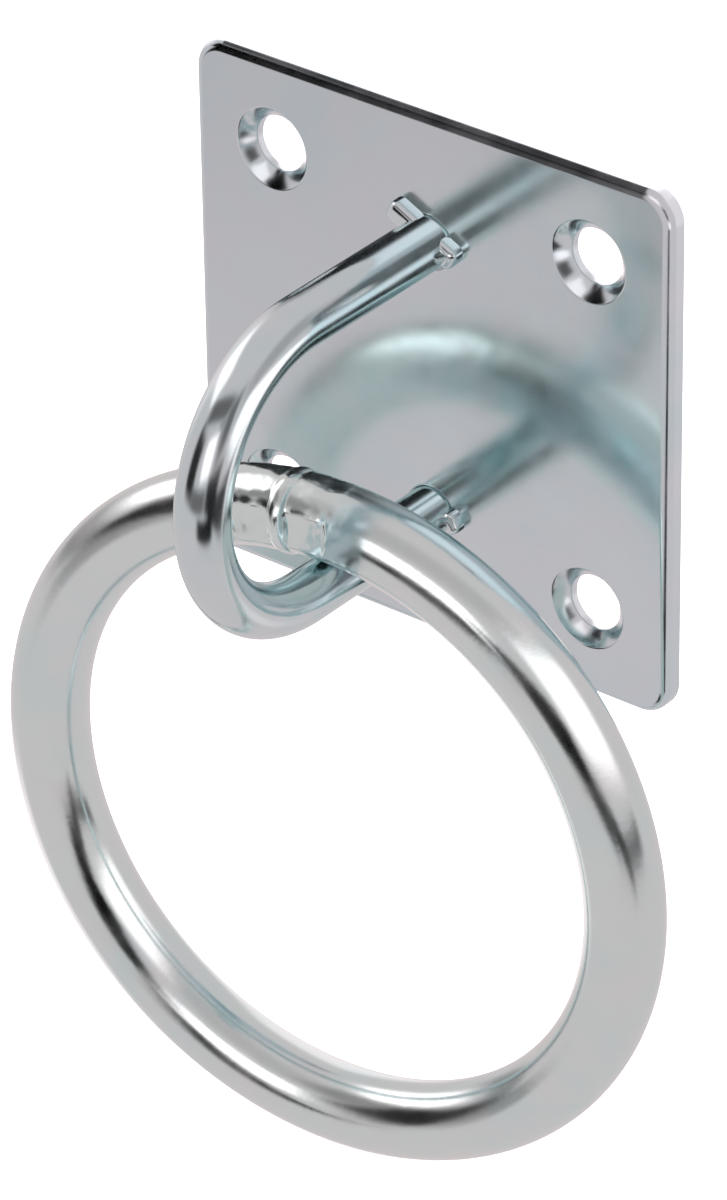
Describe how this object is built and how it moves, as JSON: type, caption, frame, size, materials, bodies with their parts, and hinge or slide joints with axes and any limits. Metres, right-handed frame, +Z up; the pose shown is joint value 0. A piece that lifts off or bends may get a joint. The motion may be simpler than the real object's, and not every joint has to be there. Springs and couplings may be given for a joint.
{
  "type": "ring on plate",
  "caption": "Square screw-on wall plate with a riveted wire staple and a welded round wire ring that hangs and swings in it.",
  "frame": {"origin": "centre of the plate's back face, the face that lies on the wall", "axes": "+Z up, in the line of the staple's two legs; +Y into the wall, so the staple and ring stand out along -Y; +X to the right as seen from the front"},
  "size_m": [0.0758, 0.0396, 0.1084],
  "materials": {
    "zinc_plated_sheet": "bright zinc plating on pressed steel sheet, semi-gloss",
    "zinc_plated_staple": "bright zinc plating on bent steel wire, gloss",
    "zinc_plated_ring": "bright zinc plating on welded steel wire, satin gloss"
  },
  "bodies": {
    "wall_plate": {"plate": "zinc_plated_sheet", "staple": "zinc_plated_staple"},
    "ring": {"ring": "zinc_plated_ring"}
  },
  "joints": [
    {"name": "ring_swing", "type": "hinge", "parent": "wall_plate", "child": "ring", "pos_m": [0, -0.0186, -0.00795], "axis": [-0.9973, -0.0732, 0], "range_deg": [-11.5, 191.5]}
  ]
}
